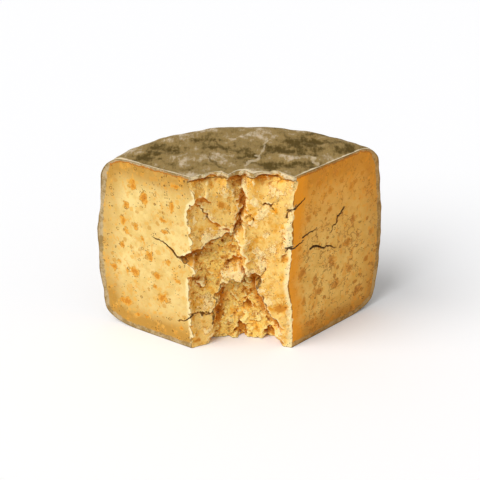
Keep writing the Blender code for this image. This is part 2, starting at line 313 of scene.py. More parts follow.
# Each patch on the break: x, z, width, height, and over 0 how amber it is, under 0 how pale.
PATCHES = (
    (-43, 203, 9, 6, 0.8), (-31, 182, 10, 11, 1.3), (-58, 199, 11, 27, 0.6), (-51, 210, 22, 7, 0.6),
    (-65, 156, 6, 17, 0.6), (-59, 171, 16, 10, 0.65), (-37, 154, 5, 7, 0.9), (-59, 133, 7, 14, 0.8),
    (14, 211, 19, 9, 1.4), (4, 137, 7, 6, 1.4), (13, 148, 5, 6, 0.9), (20, 140, 5, 11, 0.8),
    (17, 165, 9, 12, 0.8), (36, 167, 6, 7, 0.8), (1, 175, 13, 7, 0.9), (-6, 165, 7, 12, 1.0),
    (40, 118, 9, 7, 0.9), (-64, 65, 7, 55, 0.7), (-29, 104, 6, 6, 1.5), (-14, 104, 7, 8, 1.2),
    (-53, 68, 9, 7, 1.0), (-60, 7, 8, 7, 1.2), (-36, 47, 6, 18, 1.0), (31, 51, 12, 9, 1.5),
    (40, 51, 6, 8, 0.8), (38, 62, 6, 6, 0.7), (34, 115, 6, 7, 1.0), (-5, 52, 10, 7, 1.4),
    (6, 36, 13, 7, 0.9), (3, 86, 18, 9, 0.9), (-16, 178, 9, 34, 0.8), (-60, 112, 20, 12, 0.8),
    (-62, 164, 5, 10, -1.2), (-28, 196, 13, 19, -0.6), (-47, 168, 14, 11, -0.8),
    (-28, 147, 18, 14, -1.3), (-38, 136, 15, 9, -1.2), (-51, 139, 11, 17, -1.1),
    (-8, 195, 6, 23, -0.9), (3, 184, 10, 8, -1.2), (12, 171, 15, 12, -1.5), (0, 158, 12, 8, -1.5),
    (16, 145, 8, 8, -1.2), (7, 123, 10, 9, -1.2), (40, 152, 12, 45, -1.2),
    (26, 196, 14, 10, -0.7), (24, 128, 10, 14, -0.7), (0, 136, 8, 8, -0.9), (10, 190, 8, 8, 0.9),
    (-20, 90, 19, 12, -1.0), (-58, 76, 13, 7, -1.3), (-59, 60, 4, 5, -1.2), (-32, 71, 7, 12, -1.0),
    (-48, 52, 13, 15, -1.0), (-50, 18, 9, 9, -0.9), (-17, 53, 7, 8, -0.9), (-24, 16, 13, 11, -1.0),
    (-1, 95, 10, 10, -1.1), (11, 107, 9, 17, -0.8), (12, 73, 10, 7, -0.9), (-6, 63, 9, 9, -0.8),
    (18, 59, 12, 18, -0.6), (8, 25, 12, 11, -0.9), (43, 80, 6, 34, -0.7), (31, 12, 11, 14, -0.6),
    (-11, 3, 12, 20, 1.5), (22, 5, 11, 16, 1.5), (-4, 36, 10, 8, 1.3), (-35, 20, 8, 30, 0.8),
)
print(len(CRAGS), "crags,", len(FISSURES), "fissures and", len(PATCHES), "patches")

# %% [markdown]
# Noise for a broken surface
#
# Cheese breaks along grains the size of a lentil, so plain soft noise looks wrong on it: it looks
# like clay. `grains` splits space into cells round scattered seeds. From the same cells we get
# rounded clods (the distance to the seed), the seams between them (how much nearer the first
# seed is than the second) and flat facets (each cell tilted its own way).

# %% Grains, lumps and distances
GRAIN_TABLE = 32


def lumps(points, width, seed):
    """Soft noise, about -0.5 to 0.5, whose lumps are `width` across, at an array of points."""
    shift = Vector((seed * 3.7, seed * 5.3, seed * 7.9))
    return np.array([noise.noise(Vector(point) + shift) for point in points / width])


def grains(points, width, seed):
    """For each point: distance to its grain's seed, to the next seed, and the grain's tilt."""
    table = np.random.default_rng(seed).random((GRAIN_TABLE,) * 3 + (6,))
    scaled = points / width
    base = np.floor(scaled).astype(int)
    first = np.full(len(points), np.inf)
    second = first.copy()
    tilted = np.zeros(len(points))
    for step in itertools.product((-1, 0, 1), repeat=3):
        cell = base + step
        traits = table[tuple((cell % GRAIN_TABLE).T)]
        offset = scaled - cell - traits[:, :3]
        distance = np.linalg.norm(offset, axis=1)
        nearer = distance < first
        second = np.where(nearer, first, np.minimum(second, distance))
        first = np.where(nearer, distance, first)
        tilted = np.where(nearer, (offset * (traits[:, 3:] * 2 - 1)).sum(axis=1), tilted)
    return first, second, tilted


def smooth(value, start, end):
    """0 before start, 1 after end, with a soft ramp between."""
    ramp = np.clip((value - start) / (end - start), 0, 1)
    return ramp * ramp * (3 - 2 * ramp)


def segment_distance(x, z, start, end):
    run_x, run_z = end[0] - start[0], end[1] - start[1]
    along = ((x - start[0]) * run_x + (z - start[1]) * run_z) / (run_x ** 2 + run_z ** 2)
    along = np.clip(along, 0, 1)
    return np.hypot(x - start[0] - along * run_x, z - start[1] - along * run_z)


def off_line(x, z, route):
    """Distance to a line through the route's points, given in millimetres."""
    corners = np.array(route) * MM
    return np.min([segment_distance(x, z, *pair) for pair in zip(corners, corners[1:])], axis=0)


def inside(x, z, outline, slope):
    """1 inside an outline in millimetres and 0 outside, with a slope between."""
    corners = np.array(outline) * MM
    within = np.zeros(x.shape, dtype=bool)
    nearest = np.full(x.shape, np.inf)
    for start, end in zip(corners, np.roll(corners, -1, axis=0)):
        nearest = np.minimum(nearest, segment_distance(x, z, start, end))
        if end[1] != start[1]:
            crossing = start[0] + (z - start[1]) * (end[0] - start[0]) / (end[1] - start[1])
            within ^= ((start[1] > z) != (end[1] > z)) & (x < crossing)
    return smooth(np.where(within, nearest, -nearest), -slope * MM / 2, slope * MM / 2)


def patchwork(x, z):
    """The sum of the break's patches at points in the plane of the plates."""
    total = np.zeros(x.shape)
    for place, up, across, tall, amount in PATCHES:
        reach = ((x / MM - place) / (across / 2)) ** 2 + ((z / MM - up) / (tall / 2)) ** 2
        total += amount * np.exp(-0.7 * reach)
    return total


# %% [markdown]
# From outlines to a surface
#
# The broken face is worked out for whole arrays of points at once. First the plates between the
# two upright edges, then the crags, then the fissures, and last the thin lip of rind at the top.

# %% Shape of the broken face
EDGE_REACH = 0.014
HOLLOW = 0.011
OVERHANG = 0.35
RIND_THICKNESS = 0.006
PULL_START = 0.194
FISSURE_WIDTH, FISSURE_DEPTH = 0.0010, 0.0034
WIDE_TEAR, WIDE_TEAR_SIZE = 3.4 * MM, 8 * MM
FINE_TEAR, FINE_TEAR_SIZE = 2.2 * MM, 3.4 * MM
RIND_TEAR, RIND_TEAR_SIZE = 3 * MM, 5 * MM
RIND_UNEVEN, RIND_UNEVEN_SIZE = 0.7, 8 * MM
RIND_LIP, RIND_STEP = 2.5 * MM, 0.8 * MM
LEFT_STRAY, RIGHT_STRAY = 1.2, 0.5


def torn(x, z):
    """How far a torn edge strays sideways and up at each point."""
    flat = np.stack((x, np.zeros(x.shape), z), axis=-1)
    return [WIDE_TEAR * lumps(flat, WIDE_TEAR_SIZE, seed)
            + FINE_TEAR * lumps(flat, FINE_TEAR_SIZE, seed + 1) for seed in (1, 3)]


def plate_line(x, z):
    """How far back the plates lie before any crag sinks in, and 1 away from their edges."""
    left_table, right_table = (np.array(table).T * MM for table in (LEFT_EDGE, RIGHT_EDGE))
    left, right = np.interp(z, *left_table), np.interp(z, *right_table)
    left_x, left_y = left * math.sin(LEFT_CUT), left * math.cos(LEFT_CUT)
    right_x, right_y = right * math.sin(RIGHT_CUT), right * math.cos(RIGHT_CUT)
    left_rest = left_table[1].mean() * math.cos(LEFT_CUT)
    right_rest = right_table[1].mean() * math.cos(RIGHT_CUT)
    across = np.clip((x - left_x) / (right_x - left_x), 0, 1)
    y = left_rest + (right_rest - left_rest) * across + HOLLOW * 4 * across * (1 - across)
    y += (left_y - left_rest) * np.exp(-np.maximum(x - left_x, 0) / EDGE_REACH)
    y += (right_y - right_rest) * np.exp(-np.maximum(right_x - x, 0) / EDGE_REACH)
    inner = smooth(x - left_x, 0, EDGE_REACH / 2) * smooth(right_x - x, 0, EDGE_REACH / 2)
    return y, inner


def broken_face(x, z):
    """The points of the broken face for arrays of x and z, in metres from the drum's axis."""
    stray_x, stray_z = torn(x, z)
    y, inner = plate_line(x, z + stray_z)
    y += np.where(x < 0, LEFT_STRAY, RIGHT_STRAY) * stray_x * (1 - inner)
    torn_x, torn_z = x + stray_x, z + stray_z
    depth = np.zeros(x.shape)
    for outline, top_depth, low_depth, slope in CRAGS:
        heights = [corner[1] * MM for corner in outline]
        up = smooth(z, max(min(heights), 0), max(heights))
        mask = inside(torn_x, torn_z, outline, slope) * inner
        depth += mask * (low_depth + (top_depth - low_depth) * up) * MM
    for outline, lift, slope in EDGE_FLAKES:
        depth += inside(torn_x, torn_z, outline, slope) * lift * MM
    for strength, route in FISSURES:
        away = off_line(torn_x, torn_z, route)
        depth += strength * FISSURE_DEPTH * np.exp(-(away / FISSURE_WIDTH) ** 2)

    flat = np.stack((x, np.zeros(x.shape), np.zeros(x.shape)), axis=-1)
    rind_y = np.interp(x, *np.array(RIND_LINE).T * MM)
    rind_y += RIND_TEAR * lumps(flat, RIND_TEAR_SIZE, 5)
    pull = smooth(z, PULL_START, DRUM_HEIGHT - RIND_THICKNESS)
    y += (rind_y + RIND_LIP - y) * pull
    thickness = RIND_THICKNESS * (1 + RIND_UNEVEN * lumps(flat, RIND_UNEVEN_SIZE, 6))
    in_rind = smooth(z - (DRUM_HEIGHT - thickness), 0, RIND_STEP)
    depth *= 1 - in_rind
    y += (rind_y - y) * in_rind
    return np.stack((x, y + depth, z + OVERHANG * depth), axis=-1)


# %% [markdown]
# The air in front of the break
#
# The break is cut by a block of air whose back is the broken face. The block is remeshed into
# small even faces, so that steep walls get as many points as flat plates, and then crumbled: deep
# places more, plates less.

# %% Block of air, remeshed and crumbled
AIR_LEFT, AIR_RIGHT = -0.095, 0.070
AIR_BELOW, AIR_ABOVE = -0.012, 0.232
AIR_FRONT = -0.003
CELL = 0.0010
PLATE_CALM, RIND_CALM, CRUMB_ROUGH = 0.30, 0.7, 0.6
PLATE_DEPTH, CRAG_DEPTH = 3 * MM, 9 * MM
BREAK_STARTS = 0.025
SLAB_SIZE, SLAB_PUSH = 17 * MM, 1.8 * MM
LUMP_SIZE, LUMP_PUSH = 12 * MM, 1.8 * MM
CHIP_SIZE, CHIP_PUSH = 7 * MM, 1.6 * MM
CLOD_SIZE, CLOD_PUSH, CLOD_SEAM, CRUMB_PUSH = 5 * MM, 0.9 * MM, 0.4 * MM, 1.5 * MM
GRIT_SIZE, GRIT_PUSH = 2.6 * MM, 0.4 * MM


def settled(thing):
    """Apply an object's modifiers to its mesh."""
    shaped = thing.evaluated_get(bpy.context.evaluated_depsgraph_get())
    mesh = bpy.data.meshes.new_from_object(shaped)
    thing.modifiers.clear()
    thing.data = mesh


def vectors_of(mesh, name):
    """The places ('co') or normals ('normal') of a mesh's points as an array."""
    values = np.empty(len(mesh.vertices) * 3)
    mesh.vertices.foreach_get(name, values)
    return values.reshape(-1, 3)


def set_points(mesh, points):
    mesh.vertices.foreach_set("co", points.ravel())
    mesh.update()


def air_in_front():
    columns = round((AIR_RIGHT - AIR_LEFT) / CELL)
    rows = round((AIR_ABOVE - AIR_BELOW) / CELL)
    form = bmesh.new()
    bmesh.ops.create_grid(form, x_segments=columns, y_segments=rows, size=1)
    back = list(form.verts)
    share = np.array([corner.co[:2] for corner in back]) / 2 + 0.5
    x = AIR_LEFT + (AIR_RIGHT - AIR_LEFT) * share[:, 0]
    z = AIR_BELOW + (AIR_ABOVE - AIR_BELOW) * share[:, 1]
    for corner, place in zip(back, broken_face(x, z)):
        corner.co = place
    pushed = bmesh.ops.extrude_face_region(form, geom=list(form.faces))["geom"]
    for item in pushed:
        if isinstance(item, bmesh.types.BMVert):
            item.co.y = AIR_FRONT
    bmesh.ops.recalc_face_normals(form, faces=form.faces)
    return mesh_object("air", form)


def roughness_of(points):
    """PLATE_CALM on the plates, 1 deep in the crags, calm at the rind; and where crumbs cling."""
    x, y, z = points.T
    plate, _ = plate_line(x, z)
    rough = PLATE_CALM + (1 - PLATE_CALM) * smooth(y - plate, PLATE_DEPTH, CRAG_DEPTH)
    crumbs = smooth(-patchwork(x, z - OVERHANG * np.maximum(y - plate, 0)), 0.35, 0.9)
    crumbs *= 1 - smooth(z, DRUM_HEIGHT - 20 * MM, DRUM_HEIGHT - 8 * MM)
    rough *= 1 - RIND_CALM * smooth(z, DRUM_HEIGHT - 9 * MM, DRUM_HEIGHT - 5 * MM)
    return np.maximum(rough, CRUMB_ROUGH * crumbs), crumbs


def crumble(thing):
    """Push the break in and out along its own normals, in facets, clods and grit."""
    mesh = thing.data
    points, normals = vectors_of(mesh, "co"), vectors_of(mesh, "normal")
    near = np.flatnonzero(points[:, 1] > BREAK_STARTS)
    spots = points[near]
    rough, crumbs = roughness_of(spots)
    _, _, slabs = grains(spots, SLAB_SIZE, 7)
    _, _, chips = grains(spots, CHIP_SIZE, 8)
    clod, next_clod, _ = grains(spots, CLOD_SIZE, 9)
    grit, _, _ = grains(spots, GRIT_SIZE, 10)
    push = SLAB_PUSH * slabs * (0.4 + 0.6 * rough) + CHIP_PUSH * chips * rough
    push += LUMP_PUSH * lumps(spots, LUMP_SIZE, 11) * rough
    push += CLOD_PUSH * (clod - 0.45) * smooth(rough, 0.4, 1)
    push += CLOD_SEAM * (1 - smooth(next_clod - clod, 0, 0.16)) * smooth(rough, 0.4, 1)
    push += GRIT_PUSH * (grit - 0.45) * rough
    push += CRUMB_PUSH * (clod - 0.75) * crumbs
    points[near] += normals[near] * push[:, None]
    set_points(mesh, points)


air = air_in_front()
remesh = air.modifiers.new("even faces", 'REMESH')
remesh.mode = 'VOXEL'
remesh.voxel_size = CELL
settled(air)
crumble(air)
print("air block:", len(air.data.polygons), "faces")

# %% [markdown]
# Cracks in the cut sides
#
# Some cracks run out over the two cut sides, from the broken edge or on their own. Each is a thin
# wedge that starts wide and runs out to nothing, on a jagged route. Cutting real grooves costs
# little, and light and shadow then draw the cracks for us; the material also paints them dark
# inside, as painted shade.

# %% Crack blades
CRACKS = (
    (LEFT_CUT, ((84, 112), (92, 117), (101, 124), (112, 131), (126, 133)), 3.6, 8.0),
    (LEFT_CUT, ((74, 49), (81, 40), (88, 35), (97, 31)), 2.0, 5.0),
    (RIGHT_CUT, ((52, 178), (62, 181), (69, 185), (76, 188)), 3.5, 7.0),
    (RIGHT_CUT, ((54, 133), (64, 133), (72, 135), (77, 137)), 3.6, 7.0),
    (RIGHT_CUT, ((86, 122), (90, 124), (99, 120), (106, 115), (114, 115.5), (126, 108)), 3.6, 5.0),
    (RIGHT_CUT, ((137, 156), (131, 149), (126, 148), (127, 141), (121, 138), (117, 131)), 3.4, 5.0),
    (RIGHT_CUT, ((74, 141), (82, 143.5), (88, 142.5), (96, 146)), 2.8, 4.0),
)
LIP_OUTSIDE = 2.0
CRACK_STEP = 2.2
JAG = 1.0
RUN_OUT, RUN_OUT_BEND = 0.94, 1.3


def on_cut(cut, distance, height, lift=0.0):
    """A point on a cut side, millimetres in, metres out; lift moves it off the chunk."""
    away = 1 if cut > 0 else -1
    return Vector((distance * math.sin(cut) + away * lift * math.cos(cut),
                   distance * math.cos(cut) - away * lift * math.sin(cut), height)) * MM


def jagged(route, seed):
    """The route cut into short steps that stray to either side."""
    corners = np.array(route, dtype=float)
    runs = np.hypot(*np.diff(corners, axis=0).T)
    at = np.concatenate(([0], np.cumsum(runs)))
    steps = np.linspace(0, at[-1], round(at[-1] / CRACK_STEP) + 1)
    line = np.stack([np.interp(steps, at, corners[:, axis]) for axis in (0, 1)], axis=-1)
    stray = np.random.default_rng(seed).uniform(-JAG, JAG, line.shape)
    stray[0] = 0
    return line + stray


def crack_blade(cut, route, width, depth, seed):
    form = bmesh.new()
    line = jagged(route, seed)
    run = np.gradient(line, axis=0)
    run /= np.hypot(*run.T)[:, None]
    left_over = 1 - RUN_OUT * np.linspace(0, 1, len(line)) ** RUN_OUT_BEND
    rings = []
    for (distance, height), (run_x, run_z), share in zip(line, run, left_over):
        half = width / 2 * share
        ring = [on_cut(cut, distance - run_z * half, height + run_x * half, LIP_OUTSIDE),
                on_cut(cut, distance + run_z * half, height - run_x * half, LIP_OUTSIDE),
                on_cut(cut, distance, height, -depth * share)]
        rings.append([form.verts.new(corner) for corner in ring])
    for ring, after in zip(rings, rings[1:]):
        for corner in range(3):
            other = (corner + 1) % 3
            form.faces.new((ring[corner], ring[other], after[other], after[corner]))
    form.faces.new(rings[0])
    form.faces.new(rings[-1])
    bmesh.ops.recalc_face_normals(form, faces=form.faces)
    return mesh_object(f"blade_{seed}", form)


blades = [crack_blade(*crack, seed) for seed, crack in enumerate(CRACKS)]
print(len(blades), "blades")

# %% [markdown]
# Break and crack the wedge
#
# The air block and the blades are taken away with Boolean modifiers. The manifold solver suits
# these dense closed meshes: it needs well under a second for each.
#
# Slivers are dissolved after it. Where one closes up, two faces can stay behind back to back, as
# a flap of no thickness, so flaps are looked for and taken off.

# %% Cut
SLIVER = 0.02 * MM


def flaps_of(form):
    """The faces that share all their corners with another face."""
    groups = {}
    for face in form.faces:
        groups.setdefault(frozenset(face.verts), []).append(face)
    return [face for group in groups.values() if len(group) > 1 for face in group]


for cutter in (air, *blades):
    cut = chunk.modifiers.new(cutter.name, 'BOOLEAN')
    cut.object = cutter
    cut.operation = 'DIFFERENCE'
    cut.solver = 'MANIFOLD'
settled(chunk)
for cutter in (air, *blades):
    bpy.data.objects.remove(cutter, do_unlink=True)
form = bmesh.new()
form.from_mesh(chunk.data)
bmesh.ops.triangulate(form, faces=form.faces)
bmesh.ops.dissolve_degenerate(form, edges=form.edges, dist=SLIVER)
bmesh.ops.triangulate(form, faces=form.faces)
flaps = flaps_of(form)
bmesh.ops.delete(form, geom=flaps, context='FACES')
form.to_mesh(chunk.data)
form.free()
print("broken chunk:", len(chunk.data.polygons), "triangles, without", len(flaps), "of flaps")

# %% [markdown]
# Measure where each point lies
#
# The colours of a cheese follow its making: the paste turns ochre near the rind. On top of that the
# hollows are painted dark, as painted shade, and the edges pale, partly for wear and partly as
# painted highlight. A shader can't know any of that, so we measure it once per point and keep it on
# the mesh as attributes: how deep a point lies under the rind, how far it is from the nearest cut
# side, and how shut in it is. All lengths are in millimetres.

# %% Depth under the rind and distance from the cuts
def depth_under_rind(points):
    """Distance to the drum's outer surface, worked out in the plane of radius and height."""
    radius, height = np.hypot(points[:, 0], points[:, 1]), points[:, 2]
    line = np.vstack(((0, DRUM_HEIGHT), outer_line(), (0, 0)))
    depth = np.full(len(points), np.inf)
    for start, end in zip(line, line[1:]):
        depth = np.minimum(depth, segment_distance(radius, height, start, end))
    return depth


def off_cut_sides(points):
    """Distance from the left and from the right cut side."""
    left = points[:, 0] * math.cos(LEFT_CUT) - points[:, 1] * math.sin(LEFT_CUT)
    right = points[:, 1] * math.sin(RIGHT_CUT) - points[:, 0] * math.cos(RIGHT_CUT)
    return np.maximum(left, 0), np.maximum(right, 0)


points = vectors_of(chunk.data, "co")
skin = depth_under_rind(points) / MM
off_left, off_right = (side / MM for side in off_cut_sides(points))
off_cut = np.minimum(off_left, off_right)
on_right = (off_right < off_left).astype(float)
broken = smooth(np.minimum(off_cut, skin), 0.05, 0.5)
print("points on the break:", int((broken > 0.5).sum()), "of", len(points))

# %% [markdown]
# Uneven rind and cut sides
#
# A rind dries unevenly and a cut side shows the wire's small steps. Points on the rind move along
# their normals by slow noise, and the top has shallow hollows, which the material also paints
# darker. Points on a cut side only sink, never rise, so that the flat sides keep their size, and
# they sink most at the small eyes that are listed here by their place on the side, width and
# height.

# %% Relief of the rind and the cut sides
LEFT_EYES = (
    (150, 191, 9, 15), (136, 179, 10, 13), (99, 178, 6, 12), (160, 164, 6, 9), (167, 143, 7, 12),
    (149, 139, 5, 8), (163, 130, 8, 9), (110, 144, 11, 5), (141, 126, 5, 7), (169, 110, 6, 9),
    (132, 106, 8, 12), (107, 106, 7, 8), (182, 78, 7, 9), (154, 80, 13, 9), (122, 83, 10, 9),
    (116, 55, 16, 11), (94, 85, 7, 5), (166, 35, 15, 11), (153, 21, 9, 5), (138, 22, 8, 5),
    (93, 204, 8, 5), (174, 87, 7, 6), (112, 158, 9, 4), (126, 68, 5, 5), (92, 22, 8, 5),
)
RIGHT_EYES = (
    (124, 204, 7, 9), (95, 200, 10, 7), (114, 186, 9, 9), (148, 178, 7, 9), (83, 162, 7, 9),
    (121, 94, 8, 13), (75, 94, 8, 13), (96, 78, 7, 11), (152, 70, 8, 8), (168, 34, 14, 10),
    (92, 21, 15, 8), (146, 108, 9, 9), (115, 161, 7, 6), (80, 56, 5, 11), (184, 108, 5, 8),
    (129, 58, 13, 8), (103, 59, 13, 8), (155, 135, 9, 8), (180, 72, 6, 7),
)
CLOUDS = (   # x, y, width, depth of the patch on the top, and how dark (below 0: how pale) it is
    (-118, 84, 30, 22, 1.0), (-95, 108, 34, 20, 0.8), (-50, 131, 34, 12, 0.7),
    (-28, 110, 28, 16, 0.7), (-3, 90, 20, 12, 0.7), (32, 106, 38, 16, 1.1),
    (70, 126, 44, 14, 1.0), (30, 68, 54, 13, 1.0), (95, 101, 54, 20, 0.9), (-63, 60, 30, 10, 0.9),
    (-126, 97, 20, 10, -0.7), (-82, 84, 46, 13, -0.6), (-15, 138, 38, 8, -0.5),
    (47, 88, 40, 8, -0.9), (9, 100, 12, 20, -0.6), (-50, 85, 20, 14, -0.4),
)
EYE_DEPTH = 0.5
RIND_SWELL, SWELL_SIZE = 1.6, 34 * MM
RIND_DIMPLE, DIMPLE_SIZE = 0.9, 11 * MM
CLOUD_DEPTH = 1.3


def eye_field(radius, height, eyes):
    """1 at the middle of an eye, 0.5 at its rim, 0 away from it."""
    field = np.zeros(len(radius))
    for place, up, across, tall in eyes:
        reach = ((radius - place) / (across / 2)) ** 2 + ((height - up) / (tall / 2)) ** 2
        field = np.maximum(field, np.exp(-0.7 * reach))
    return field


x, y, z = points.T.copy()
radius, flat_height = np.hypot(x, y) / MM, z / MM
left_field = eye_field(radius, flat_height, LEFT_EYES)
right_field = eye_field(radius, flat_height, RIGHT_EYES)
eyes = np.where(on_right > 0.5, right_field, left_field) * (off_cut < 1)

bent_x, bent_y = x.copy(), y.copy()
for seed, width, bend in ((31, 16 * MM, 9 * MM), (33, 6 * MM, 4 * MM)):
    bent_x += bend * lumps(points, width, seed)
    bent_y += bend * lumps(points, width, seed + 1)
on_top = smooth(z, DRUM_HEIGHT - 12 * MM, DRUM_HEIGHT - 3 * MM)
cloud = np.zeros(len(points))
for place_x, place_y, width, deep, amount in CLOUDS:
    reach = ((bent_x / MM - place_x) / (width / 2)) ** 2
    reach += ((bent_y / MM - place_y) / (deep / 2)) ** 2
    cloud += amount * np.exp(-0.7 * reach) * on_top

normals = vectors_of(chunk.data, "normal")
swell = RIND_SWELL * lumps(points, SWELL_SIZE, 21) + RIND_DIMPLE * lumps(points, DIMPLE_SIZE, 22)
swell -= CLOUD_DEPTH * cloud
on_rind = (1 - smooth(skin, 0.1, 2.5)) * smooth(points[:, 2], 1 * MM, 14 * MM)
on_side = (1 - broken) * smooth(skin, 1.0, 4.0)
steps = 0.25 + 0.5 * lumps(points, 13 * MM, 23) + 0.35 * lumps(points, 6 * MM, 24)
sink = (np.maximum(steps, 0) + EYE_DEPTH * eyes) * on_side
points += normals * ((swell * on_rind - sink) * MM)[:, None]
set_points(chunk.data, points)
print("deepest dent in a cut side:", round(sink.max(), 2), "mm")

# %% [markdown]
# How shut in and how sharp each point is
#
# From every point of the break, rays go out into the half space over it. The share that soon hits
# cheese again says how shut in the point is, and three rays that go up and a little forward say
# what hangs over it. For sharpness we smooth a copy of the mesh and see how far each point stood
# out of it. Both need no baking.

# %% Hollows and ridges
RAYS = 20
RAY_REACH = 24.0
RAY_START = 0.3
CLOSER = 4
OVERHEAD = [Vector((side, -0.5, 1)).normalized() for side in (-0.5, 0, 0.5)]
SMOOTHING_ROUNDS = 16


def half_space_rays():
    """Directions spread over the half space round +Z, denser near it."""
    count = np.arange(RAYS) + 0.5
    slant = np.sqrt(count / RAYS)
    turn = count * math.pi * (3 - math.sqrt(5))
    return np.stack((slant * np.cos(turn), slant * np.sin(turn), np.sqrt(1 - slant ** 2)), axis=-1)


def shut_in(mesh, chosen):
    """Share of the rays from each chosen point that soon hit cheese: wide, close and overhead."""
    points, normals = vectors_of(mesh, "co"), vectors_of(mesh, "normal")
    tree = BVHTree.FromPolygons([Vector(point) for point in points],
                                [tuple(face.vertices) for face in mesh.polygons])
    rays = [Vector(ray) for ray in half_space_rays()]
    wide, close, over = np.zeros((3, len(points)))
    for index in chosen:
        normal = Vector(normals[index])
        turn = normal.to_track_quat('Z', 'Y').to_matrix()
        start = Vector(points[index]) + normal * (RAY_START * MM)
        for ray in rays:
            hit = tree.ray_cast(start, turn @ ray, RAY_REACH * MM)[3]
            if hit is not None:
                share = hit / (RAY_REACH * MM)
                wide[index] += (1 - share) / RAYS
                close[index] += max(1 - CLOSER * share, 0) / RAYS
        hits = [tree.ray_cast(start, ray, RAY_REACH * MM)[3] for ray in OVERHEAD]
        over[index] = sum(1 - hit / (RAY_REACH * MM) for hit in hits if hit) / len(hits)
    return wide, close, over


def stands_out(mesh):
    """How far each point stands out of a smoothed copy of the mesh, in millimetres."""
    points, normals = vectors_of(mesh, "co"), vectors_of(mesh, "normal")
    ends = np.empty(len(mesh.edges) * 2, dtype=int)
    mesh.edges.foreach_get("vertices", ends)
    first, second = ends.reshape(-1, 2).T
    ties = np.bincount(ends, minlength=len(points))[:, None]
    calm = points.copy()
    for _ in range(SMOOTHING_ROUNDS):
        total = np.zeros_like(calm)
        np.add.at(total, first, calm[second])
        np.add.at(total, second, calm[first])
        calm = total / ties
    return ((points - calm) * normals).sum(axis=1) / MM


hollow, nook, under = shut_in(chunk.data, np.flatnonzero(broken > 0.1))
ridge = stands_out(chunk.data) * (broken > 0.1)
print("hollow:", np.percentile(hollow[broken > 0.5], (10, 50, 90)).round(2))
print("nook:", np.percentile(nook[broken > 0.5], (10, 50, 90)).round(2))
print("ridge:", np.percentile(ridge[broken > 0.5], (10, 50, 90)).round(2))

# %% [markdown]
# Marks on the break and on the rind
#
# The fissures and cracks are painted dark inside, as painted shade, so their lines are kept too,
# and so are the amber and the crumbly patches of the break. Under the ledge and the arch the paste
# is painted darker, as painted shade. The rind has a few pale veins and some creases, which are
# painted dark as painted shade. Each is a soft patch or a line at its place, and the shader breaks
# up its rim with fine noise.

# %% Fissure lines, patches, veins
SHADE_REACH = 14.0
FISSURE_REACH, LEDGE_REACH, VEIN_REACH, CREASE_REACH = 1.1, 1.35, 3.2, 2.2
LEAST_CRACK, CRACK_BLUR = 0.3, 0.3
VEINS = (
    ((-5, 62), (0, 74), (7, 88), (12, 103), (15, 111), (25, 134)),
    ((7, 88), (1, 93)),
    ((53, 93), (61, 88), (71, 74)),
)
CREASES = (
    ((-50, 98), (-42, 79), (-36, 67), (-28, 55)),
    ((-66, 140), (-57, 131), (-49, 131)),
    ((-42, 124), (-29, 108), (-14, 98)),
)
x, y, z = points.T
plate, _ = plate_line(x, z)
sunk = np.maximum(y - plate, 0) / MM * broken
flat_z = z - OVERHANG * np.maximum(y - plate, 0)
stray_x, stray_z = torn(x, flat_z)
fissure = np.zeros(len(points))
for lines, width in ((FISSURES, FISSURE_REACH), (LEDGE_LINES, LEDGE_REACH)):
    for strength, route in lines:
        away = off_line(x + stray_x, flat_z + stray_z, route) / MM
        fissure = np.maximum(fissure, strength * np.exp(-(away / width) ** 2))
fissure *= broken
# Painted shade: under the first ledge and inside the arch the paste counts as lying under
# something, so the material paints it darker.
for (_, route), outline in ((LEDGE_LINES[0], UNDERCUT), (LEDGE_LINES[2], CAVE)):
    away = off_line(x + stray_x, flat_z + stray_z, route) / MM
    ledge_shade = np.exp(-(away / SHADE_REACH) ** 2) * inside(x + stray_x, flat_z + stray_z, outline, 3)
    under = np.maximum(under, ledge_shade * smooth(sunk, 3, 7))
from_rim = np.minimum(off_cut, (y - np.interp(x, *np.array(RIND_LINE).T * MM)) / MM)
edge_table = (np.array(table).T * MM for table in (LEFT_EDGE, RIGHT_EDGE))
left_edge, right_edge = (np.interp(z, *table) / MM for table in edge_table)
from_edge = np.where(on_right > 0.5, radius - right_edge, radius - left_edge)

vein, crease = (np.max([np.exp(-(off_line(bent_x, bent_y, route) / (width * MM)) ** 2)
                        for route in routes], axis=0) * on_top
                for routes, width in ((VEINS, VEIN_REACH), (CREASES, CREASE_REACH)))

crack = np.zeros(len(points))
for seed, (cut, route, width, _) in enumerate(CRACKS):
    line = jagged(route, seed)
    run_out = np.hypot(*(line[-1] - line[0]))
    gone = np.hypot(radius - line[0][0], flat_height - line[0][1]) / run_out
    reach = np.maximum(width / 2 * (1 - gone), LEAST_CRACK) + CRACK_BLUR
    away = off_line(radius * MM, flat_height * MM, line) / MM
    crack = np.maximum(crack, np.exp(-(away / reach) ** 2) * ((on_right > 0.5) == (cut > 0)))
crack *= 1 - smooth(off_cut, 5, 9)
patch = patchwork(x + stray_x / 2, flat_z + stray_z / 2) * broken

FIELDS = {"skin": skin, "off_cut": off_cut, "on_right": on_right, "from_edge": from_edge,
          "from_rim": from_rim, "eyes": eyes, "sunk": sunk, "hollow": hollow, "nook": nook,
          "under": under, "ridge": ridge, "fissure": fissure, "crack": crack, "patch": patch,
          "cloud": cloud, "vein": vein, "crease": crease}
for name, values in FIELDS.items():
    kept = chunk.data.attributes.new(name, 'FLOAT', 'POINT')
    kept.data.foreach_set("value", values.astype(np.float32))
print("fields:", ", ".join(FIELDS))

# %% [markdown]
# A small language for materials
#
# Node trees built by hand in code are long and hard to read. This class wraps one socket, so that
# `1 - mask` or `a * b + c` adds the Math nodes by itself. `node` adds any other node, and `ramp`
# is the soft step that we use for nearly every mask.

# %% Wire
def joined_by(operation, swapped=False):
    """A method that joins this value and another one with a Math node."""
    def join(self, other):
        return self.maths(operation, *((other, self) if swapped else (self, other)))
    return join


